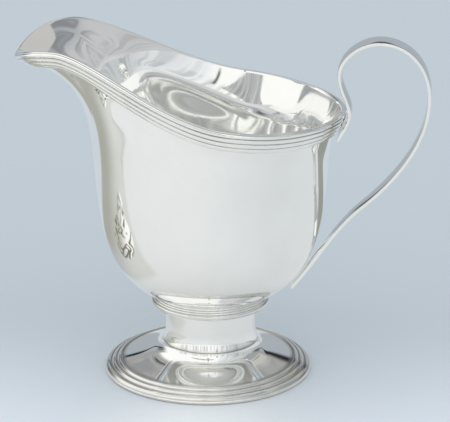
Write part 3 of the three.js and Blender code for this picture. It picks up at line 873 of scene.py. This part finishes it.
def things(n, place, y, around):
    """The things on the left, as wavy bright and dark shapes, with the paper around them."""
    spread = n.on_oval(place, THINGS_CENTRE, THINGS_RADII)
    outer = n.on_oval(place, THINGS_OUTER_CENTRE, THINGS_OUTER_RADII)
    distance = n.math("MINIMUM", n.length(spread), n.length(outer))
    lumps = n.noise(spread, *THINGS_NOISE)
    waves = n.math("SINE", n.product(lumps, THINGS_WAVES))
    bright = n.blend(n.ramp(y, *THINGS_Y), THINGS_FRONT, THINGS_BACK)
    shapes = n.blend(n.ramp(waves, *THINGS_WAVE_EDGES), THINGS_DARK, bright)
    return n.blend(n.fall(distance, *THINGS_EDGE), around, shapes)


def mirrored_floor(n, place, x, y):
    white = n.blend(n.ramp(x, *WHITE_X), WHITE_LEFT, WHITE_RIGHT)
    blue = n.blend(n.ramp(y, *BLUE_Y), BLUE_NEAR, BLUE_FAR)
    colour = n.blend(n.ramp(y, *MIDDLE_Y), white, blue)
    colour = n.blend(n.fall(x, *LEFT_STRIP_X), colour, left_strip(n, x, y, white, blue))
    colour = n.blend(n.ramp(x, *RIGHT_STRIP_X), colour, right_strip(n, y, white, blue))
    return things(n, place, y, colour)


def seen_floor(n, place, y):
    # painted shade: darker towards the back
    colour = n.blend(n.ramp(y, *SEEN_FLOOR_Y), SEEN_FLOOR_FRONT, SEEN_FLOOR_BACK)
    away = n.length(n.on_oval(place, FOOT_GLOW_CENTRE, (FOOT_GLOW_RADIUS, FOOT_GLOW_RADIUS)))
    return n.blend(n.ramp(away, 0.0, 1.0, FOOT_GLOW_SHARE, 0.0), colour, FOOT_GLOW)


def floor_material():
    """Pale paper, clear from below; in reflections it also shows the paper and shade around it."""
    material, n, place = new_material("pale_paper")
    x, y, _ = n.add("ShaderNodeSeparateXYZ", {"Vector": place}).outputs
    camera_ray = n.add("ShaderNodeLightPath").outputs["Is Camera Ray"]
    colour = n.blend(camera_ray, mirrored_floor(n, place, x, y), seen_floor(n, place, y))
    clouds = n.noise(place, *FLOOR_CLOUD_NOISE)
    colour = n.blend(n.ramp(clouds, *FLOOR_CLOUD_EDGES, 0.0, FLOOR_CLOUD_SHARE), colour, FLOOR_CLOUD)
    grain = n.noise(place, *FLOOR_GRAIN_NOISE)
    relief = {"Height": grain, "Strength": FLOOR_GRAIN_STRENGTH, "Distance": BUMP_HEIGHT}
    bump = n.add("ShaderNodeBump", relief).outputs[0]
    look = {"Base Color": colour, "Roughness": FLOOR_ROUGHNESS, "Specular IOR Level": 0.0}
    paper = n.add("ShaderNodeBsdfPrincipled", {**look, "Normal": bump}).outputs[0]
    through = n.add("ShaderNodeBsdfTransparent").outputs[0]
    below = n.add("ShaderNodeNewGeometry").outputs["Backfacing"]
    mixed = n.add("ShaderNodeMixShader", {0: below, 1: paper, 2: through})
    n.finish("ShaderNodeOutputMaterial", mixed.outputs[0])
    return material


def plane(name, corners, material):
    """A flat face of the stage, with its corners in metres."""
    mesh = bpy.data.meshes.new(name)
    mesh.from_pydata(corners, [], [range(len(corners))])
    mesh.materials.append(material)
    obj = bpy.data.objects.new(name, mesh)
    bpy.context.scene.collection.objects.link(obj)
    return obj


def build_floor():
    ways = ((-1, -1), (1, -1), (1, 1), (-1, 1))
    corners = [(FLOOR_SIZE * x, FLOOR_SIZE * y, -FLOOR_DROP) for x, y in ways]
    plane("floor", corners, floor_material())


def build_cloth(name, corners, paint):
    """A glowing cloth of the studio, in millimetres, that shows only in reflections."""
    material, n, place = new_material(name)
    glow = n.add("ShaderNodeEmission", {"Color": paint(n, place), "Strength": 1.0})
    n.finish("ShaderNodeOutputMaterial", glow.outputs[0])
    obj = plane(name, [Vector(corner) * MM for corner in corners], material)
    obj.visible_camera = False
    obj.visible_diffuse = False
    obj.visible_shadow = False


# Two cloths near the jug: outlines in millimetres, places on them in metres
STREAK_NOISE = (1.0, 3.0, 0.55)
SIDE_CLOTH_Y = -150
SIDE_CLOTH_OUTLINE = (  # x, z
    (41, 112),
    (35, 132),
    (15, 153),
    (-12, 162),
    (-80, 166),
    (-122, 150),
    (-134, 112),
)
SIDE_CLOTH_STRETCH = (260, 1, 12)
SIDE_CLOTH_EDGES = (0.38, 0.62)
SIDE_CLOTH_DARK = (0.34, 0.35, 0.35, 1)
SIDE_CLOTH_PALE = (0.62, 0.63, 0.64, 1)

LIP_CLOTH_Z = 104
LIP_CLOTH_OUTLINE = ((-57, 6), (-10, 6), (22, -1), (22, 34), (-57, 34))  # x, y
LIP_CLOTH_STRETCH = (45, 620, 1)
LIP_CLOTH_EDGES = (0.40, 0.56)
LIP_BEIGE = (0.565, 0.56, 0.54, 1)
LIP_BEIGE_X = (-0.0478, -0.0474)
LIP_FOLD_START = (0.41, 0.425, 0.44, 1)
LIP_FOLD = (0.57, 0.58, 0.59, 1)
LIP_FOLD_X = (-0.047, -0.036)
LIP_DEEP_START = (0.25, 0.265, 0.285, 1)
LIP_DEEP = (0.47, 0.485, 0.49, 1)
LIP_DEEP_X = (-0.047, -0.030)
LIP_PALE = (0.74, 0.76, 0.78, 1)
LIP_PALE_X = (-0.005, 0.018)
LIP_PALE_SHARE = 0.6


def streaks(n, place, stretch):
    return n.noise(n.stretched(place, stretch), *STREAK_NOISE)


def side_cloth(n, place):
    folds = streaks(n, place, SIDE_CLOTH_STRETCH)
    return n.blend(n.ramp(folds, *SIDE_CLOTH_EDGES), SIDE_CLOTH_DARK, SIDE_CLOTH_PALE)


def lip_cloth(n, place):
    """Beige over the lip's tip, with a sharp edge; behind the edge grey folds that get paler."""
    x = n.add("ShaderNodeSeparateXYZ", {"Vector": place}).outputs[0]
    folds = streaks(n, place, LIP_CLOTH_STRETCH)
    pale = n.blend(n.ramp(x, *LIP_FOLD_X), LIP_FOLD_START, LIP_FOLD)
    deep = n.blend(n.ramp(x, *LIP_DEEP_X), LIP_DEEP_START, LIP_DEEP)
    grey = n.blend(n.ramp(folds, *LIP_CLOTH_EDGES), deep, pale)
    grey = n.blend(n.ramp(x, *LIP_PALE_X, 0.0, LIP_PALE_SHARE), grey, LIP_PALE)
    return n.blend(n.ramp(x, *LIP_BEIGE_X), LIP_BEIGE, grey)


def build_cloths():
    build_cloth("hanging", [(x, SIDE_CLOTH_Y, z) for x, z in SIDE_CLOTH_OUTLINE], side_cloth)
    build_cloth("above_lip", [(x, y, LIP_CLOTH_Z) for x, y in LIP_CLOTH_OUTLINE], lip_cloth)


# The light tent around the jug. Its zones are in degrees: turn is measured from the front to the
# right, side is the same on both sides, and up is measured from the horizon. A pair says where a
# soft edge starts and ends, and a group of three gives the two ends of a band and its softness.
BACKDROP = (0.515, 0.575, 0.615, 1)  # what the camera sees
SOFT_LIGHT = (1.2, 1.2, 1.2, 1)  # what falls on the paper

CLOTH_WHITE = (1.04, 1.04, 1.02, 1)
CLOTH_PALE = (0.93, 0.95, 0.97, 1)
CLOTH_PALE_TURN = (18, 30)
CLOTH_GREY = (0.78, 0.81, 0.83, 1)
CLOTH_GREY_TURN = (30, 44)
CLOTH_RIGHT_LOW = (0.58, 0.61, 0.62, 1)
CLOTH_RIGHT_HIGH = (0.74, 0.75, 0.75, 1)
CLOTH_RIGHT_UP = (24, 32)
CLOTH_RIGHT_TURN = (46, 66)
CLOTH_OVERHEAD = (0.50, 0.52, 0.54, 1)
CLOTH_OVERHEAD_UP = (30, 56)
CLOTH_OVERHEAD_TURN = (75, 95)

FOLD = (0.22, 0.25, 0.28, 1)
FOLD_SPREAD = (0.16, 0.012)  # how fast the folds change with turn and with height
FOLD_NOISE = (1.6, 3.0)
FOLD_EDGES = (0.42, 0.60)
FOLD_SHARE = 0.30
FOLD_TURN = (22, 38)
FOLD_UP = (4, 76, 6)
LOW_FOLD_UP = (1.5, 15, 2)
LOW_FOLD_SIDE = (70, 85)
LOW_FOLD_SHARE = 1.5

SHEET_SLANT = 0.6  # lean of the beige sheet's front edge, in turn for each degree of height
SHEET_SHIFT = -24.0
SHEET_TURN = (93, 96)
SHEET_UP = (20, 24)
SHEET_END_TURN = (162, 168)
SHEET_BEIGE = (0.56, 0.555, 0.52, 1)
SHEET_HEM = (0.27, 0.29, 0.29, 1)
SHEET_HEM_UP = (56.5, 58.5)
SHEET_TOP = (0.42, 0.44, 0.46, 1)
SHEET_TOP_UP = (59.5, 66)
SHEET_LOW = (0.36, 0.385, 0.40, 1)
SHEET_LOW_UP = (49, 51)
SHEET_LOW_TURN = (103, 148, 4)

REAR_SIDE = (108, 135)
REAR_UP = (27, 32)
REAR_PAPER = (0.40, 0.44, 0.48, 1)
REAR_WALL = (0.17, 0.175, 0.17, 1)
REAR_WALL_UP = (7, 13)
REAR_WALL_SIDE = (142, 152)
REAR_TOP = (0.36, 0.36, 0.35, 1)
REAR_TOP_UP = (20, 25)
LINE = (0.012, 0.013, 0.015, 1)
LINE_SIDE = (154, 165)  # over this stretch the dark line climbs by LINE_UP
LINE_UP = (14, 25)
LINE_BAND = (-1.3, 1.0, 0.7)
LINE_WIDER_SIDE = (159, 163.5)  # over this stretch it gets wider, LINE_WIDER times at its end
LINE_WIDER = 2.4
HIGH_REAR_UP = (24, 30)
HIGH_REAR_SIDE = (162, 168)
HIGH_REAR_LEFT_TURN = (-150, -135)
HIGH_REAR = (0.40, 0.40, 0.39, 1)
CREASE = (0.22, 0.225, 0.25, 1)
CREASE_WAVES = 60.0
CREASE_EDGES = (-0.2, 0.9)
CREASE_SHARE = 0.5
DARK_EDGE = (0.03, 0.03, 0.03, 1)
DARK_EDGE_SIDE = (152.6, 155.2, 0.8)
DARK_EDGE_UP = (33, 45, 3)
DARK_EDGE_FOLDS = (0.40, 0.55)
DARK_EDGE_SHARES = (0.35, 0.95)

# What stands behind, as it is seen by way of at least two and of three reflections
DEPTH_SIDE = (100, 125)
TWICE = (0.84, 0.86, 0.88, 1)
TWICE_UP = (22, 27)
TWICE_SHARE = 0.75
THRICE_LOW = (1.1, 1.1, 1.08, 1)
THRICE_HIGH = (0.50, 0.51, 0.515, 1)
THRICE_UP = (17, 19)
# What stands in front, by way of at least four
FRONT_DEEP = (1.3, 1.3, 1.27, 1)
FRONT_DEEP_SIDE = (40, 70)

GLOW = (1.0, 1.0, 0.92, 1)
GLOW_TURN = (148, 162, 4)
GLOW_UP = (44, 55, 4)
GLOW_SHARE = 0.1
SLIT = (0.02, 0.02, 0.02, 1)
SLIT_SIDE = (0.9, 1.6)
SLIT_UP = (26, 62, 3)
LOW_SLIT = (0.02, 0.03, 0.03, 1)
LOW_SLIT_TURN = (19.6, 21.2, 0.8)
LOW_SLIT_UP = (11, 21.5, 2)


def tent_directions(n, depth):
    """Where a ray looks in the tent, in degrees, the folds there, and how it got there."""
    def seen_by(reflections):
        """1 after at least so many reflections; for the world, the depth is one more than these."""
        return n.math("GREATER_THAN", depth, reflections + 0.5)

    way = n.add("ShaderNodeTexCoord").outputs["Generated"]
    x, y, z = n.add("ShaderNodeSeparateXYZ", {"Vector": way}).outputs
    turn = n.math("DEGREES", n.math("ARCTAN2", x, n.product(y, -1.0)))
    up = n.math("DEGREES", n.math("ARCSINE", z))
    spread = {"X": n.product(turn, FOLD_SPREAD[0]), "Y": n.product(up, FOLD_SPREAD[1])}
    folds = n.noise(n.add("ShaderNodeCombineXYZ", spread).outputs[0], *FOLD_NOISE)
    side = n.math("ABSOLUTE", turn)
    return SimpleNamespace(turn=turn, side=side, up=up, folds=folds, seen_by=seen_by)


def front_cloth(n, look):
    """White in front and on the left, duller in steps towards the right, with folds."""
    cloth = n.blend(n.ramp(look.turn, *CLOTH_PALE_TURN), CLOTH_WHITE, CLOTH_PALE)
    cloth = n.blend(n.ramp(look.turn, *CLOTH_GREY_TURN), cloth, CLOTH_GREY)
    right = n.blend(n.ramp(look.up, *CLOTH_RIGHT_UP), CLOTH_RIGHT_LOW, CLOTH_RIGHT_HIGH)
    cloth = n.blend(n.ramp(look.turn, *CLOTH_RIGHT_TURN), cloth, right)
    overhead = n.product(n.ramp(look.up, *CLOTH_OVERHEAD_UP), n.ramp(look.turn, *CLOTH_OVERHEAD_TURN))
    cloth = n.blend(overhead, cloth, CLOTH_OVERHEAD)
    zone = n.product(n.ramp(look.turn, *FOLD_TURN), n.band(look.up, *FOLD_UP))
    low_side = n.ramp(look.side, *LOW_FOLD_SIDE, LOW_FOLD_SHARE, 0.0)
    zone = n.math("MAXIMUM", zone, n.product(n.band(look.up, *LOW_FOLD_UP), low_side))
    return n.blend(n.product(n.ramp(look.folds, *FOLD_EDGES, 0.0, FOLD_SHARE), zone), cloth, FOLD)


def add_sheet(n, look, cloth):
    """On the right, farther back: a beige sheet that ends in a dark edge."""
    corner = n.math("ADD", look.turn, n.math("MULTIPLY_ADD", look.up, SHEET_SLANT, SHEET_SHIFT))
    zone = n.product(
        n.ramp(corner, *SHEET_TURN), n.ramp(look.up, *SHEET_UP), n.fall(look.turn, *SHEET_END_TURN)
    )
    sheet = n.blend(n.ramp(look.up, *SHEET_HEM_UP), SHEET_BEIGE, SHEET_HEM)
    sheet = n.blend(n.ramp(look.up, *SHEET_TOP_UP), sheet, SHEET_TOP)
    low = n.product(n.fall(look.up, *SHEET_LOW_UP), n.band(look.turn, *SHEET_LOW_TURN))
    return n.blend(zone, cloth, n.blend(low, sheet, SHEET_LOW))


def add_rear(n, look, cloth):
    """Behind: paper that runs up, a dark line, a dull wall, and creased cloth high up."""
    wall_zone = n.product(n.ramp(look.up, *REAR_WALL_UP), n.fall(look.side, *REAR_WALL_SIDE))
    wall = n.blend(wall_zone, REAR_PAPER, REAR_WALL)
    wall = n.blend(n.ramp(look.up, *REAR_TOP_UP), wall, REAR_TOP)
    above_line = n.math("SUBTRACT", look.up, n.ramp(look.side, *LINE_SIDE, *LINE_UP))
    above_line = n.math("DIVIDE", above_line, n.ramp(look.side, *LINE_WIDER_SIDE, 1.0, LINE_WIDER))
    line = n.product(n.band(above_line, *LINE_BAND), n.math("SUBTRACT", 1.0, look.seen_by(2)))
    wall = n.blend(line, wall, LINE)
    cloth = n.blend(n.product(n.ramp(look.side, *REAR_SIDE), n.fall(look.up, *REAR_UP)), cloth, wall)
    high = n.ramp(look.up, *HIGH_REAR_UP)
    behind = n.product(n.ramp(look.side, *HIGH_REAR_SIDE), high)
    left = n.product(n.fall(look.turn, *HIGH_REAR_LEFT_TURN), high)
    waves = n.math("SINE", n.product(look.folds, CREASE_WAVES))
    dull = n.blend(n.ramp(waves, *CREASE_EDGES, 0.0, CREASE_SHARE), HIGH_REAR, CREASE)
    cloth = n.blend(n.math("MAXIMUM", behind, left), cloth, dull)
    edge = n.product(
        n.band(look.side, *DARK_EDGE_SIDE),
        n.band(look.up, *DARK_EDGE_UP),
        n.ramp(look.folds, *DARK_EDGE_FOLDS, *DARK_EDGE_SHARES),
    )
    return n.blend(edge, cloth, DARK_EDGE)


def add_depths(n, look, cloth):
    """What is seen deep in the bowl, where it reflects itself."""
    behind = n.ramp(look.side, *DEPTH_SIDE)
    share = n.product(look.seen_by(2), behind, n.ramp(look.up, *TWICE_UP), TWICE_SHARE)
    cloth = n.blend(share, cloth, TWICE)
    deep = n.blend(n.ramp(look.up, *THRICE_UP), THRICE_LOW, THRICE_HIGH)
    cloth = n.blend(n.product(look.seen_by(3), behind), cloth, deep)
    return n.blend(n.product(look.seen_by(4), n.fall(look.side, *FRONT_DEEP_SIDE)), cloth, FRONT_DEEP)


def add_slits(n, look, cloth):
    """A faint glow behind, a dark slit in the cloth at the camera, and a low one to the right."""
    glow = n.product(n.band(look.turn, *GLOW_TURN), n.band(look.up, *GLOW_UP), GLOW_SHARE)
    cloth = n.blend(glow, cloth, GLOW)
    slit = n.product(n.fall(look.side, *SLIT_SIDE), n.band(look.up, *SLIT_UP))
    cloth = n.blend(slit, cloth, SLIT)
    slit = n.product(n.band(look.turn, *LOW_SLIT_TURN), n.band(look.up, *LOW_SLIT_UP))
    return n.blend(slit, cloth, LOW_SLIT)


def build_world():
    """A pale light tent: white in front, duller folds on the right, dull wall behind, a camera slit."""
    world = bpy.data.worlds.new("tent")
    bpy.context.scene.world = world
    world.use_nodes = True
    n = Nodes(world.node_tree)
    path = n.add("ShaderNodeLightPath").outputs
    look = tent_directions(n, path["Ray Depth"])
    cloth = front_cloth(n, look)
    for add in (add_sheet, add_rear, add_depths, add_slits):
        cloth = add(n, look, cloth)
    cloth = n.blend(path["Is Diffuse Ray"], cloth, SOFT_LIGHT)
    cloth = n.blend(path["Is Camera Ray"], cloth, BACKDROP)
    background = n.add("ShaderNodeBackground", {"Color": cloth, "Strength": 1.0})
    n.finish("ShaderNodeOutputWorld", background.outputs[0])


CAMERA_AZIMUTH = 4.9
CAMERA_ELEVATION = 18.75
CAMERA_ROLL = -0.1
CAMERA_DISTANCE = 700  # in millimetres
CAMERA_TARGET = (5.13, 0, 48.42)  # in millimetres from the foot's axis
CAMERA_CLIP = (0.01, 20)  # in metres
SENSOR_WIDTH = 36
PHOTO_WIDTH = 450  # in pixels
FOCAL_PIXELS = 2407.4  # focal length in pixels of the photograph


def build_camera():
    data = bpy.data.cameras.new("camera")
    data.sensor_width = SENSOR_WIDTH
    data.lens = FOCAL_PIXELS * SENSOR_WIDTH / PHOTO_WIDTH
    data.clip_start, data.clip_end = CAMERA_CLIP
    obj = bpy.data.objects.new("camera", data)
    bpy.context.scene.collection.objects.link(obj)
    azimuth, elevation = math.radians(CAMERA_AZIMUTH), math.radians(CAMERA_ELEVATION)
    level = math.cos(elevation)
    back = Vector((math.sin(azimuth) * level, -math.cos(azimuth) * level, math.sin(elevation)))
    target = (Vector(CAMERA_TARGET) + Vector((AXIS_X, 0, 0))) * MM
    turn = (-back).to_track_quat("-Z", "Y").to_matrix().to_4x4()
    roll = Matrix.Rotation(math.radians(CAMERA_ROLL), 4, "Z")
    obj.matrix_world = Matrix.Translation(target + back * CAMERA_DISTANCE * MM) @ turn @ roll
    bpy.context.scene.camera = obj


pieces = (
    (build_bowl, "bowl", "bowl_silver"),
    (build_rim_wire, "rim_wire", "wire_silver"),
    (build_handle, "handle", "handle_silver"),
    (build_collar, "collar", "wire_silver"),
    (build_stem, "stem", "foot_silver"),
    (build_foot, "foot", "foot_silver"),
    (build_foot_wire, "foot_wire", "wire_silver"),
)
finishes = {  # stretch of the scratches, waviness and roughness
    "bowl_silver": silver("bowl_silver_look", (300, 300, 4000), 0.6, 0.045),
    "wire_silver": silver("wire_silver_look", (900, 900, 900), 0.1, 0.07),
    "handle_silver": silver("handle_silver_look", (500, 4000, 500), 0.3, 0.06),
    "foot_silver": silver("foot_silver_look", (300, 300, 4000), 0.3, 0.05),
}
for build, node, slot_name in pieces:
    piece = build()
    piece.data.materials.clear()
    piece.data.materials.append(finishes[slot_name])
    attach(piece, "root")
    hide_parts(node)

build_floor()
build_cloths()
build_world()
build_camera()

MOST_BOUNCES = 16  # the inside of the bowl reflects itself again and again
scene = bpy.context.scene
scene.view_settings.view_transform = "Standard"
scene.view_settings.look = "None"
scene.cycles.max_bounces = MOST_BOUNCES
scene.cycles.glossy_bounces = MOST_BOUNCES
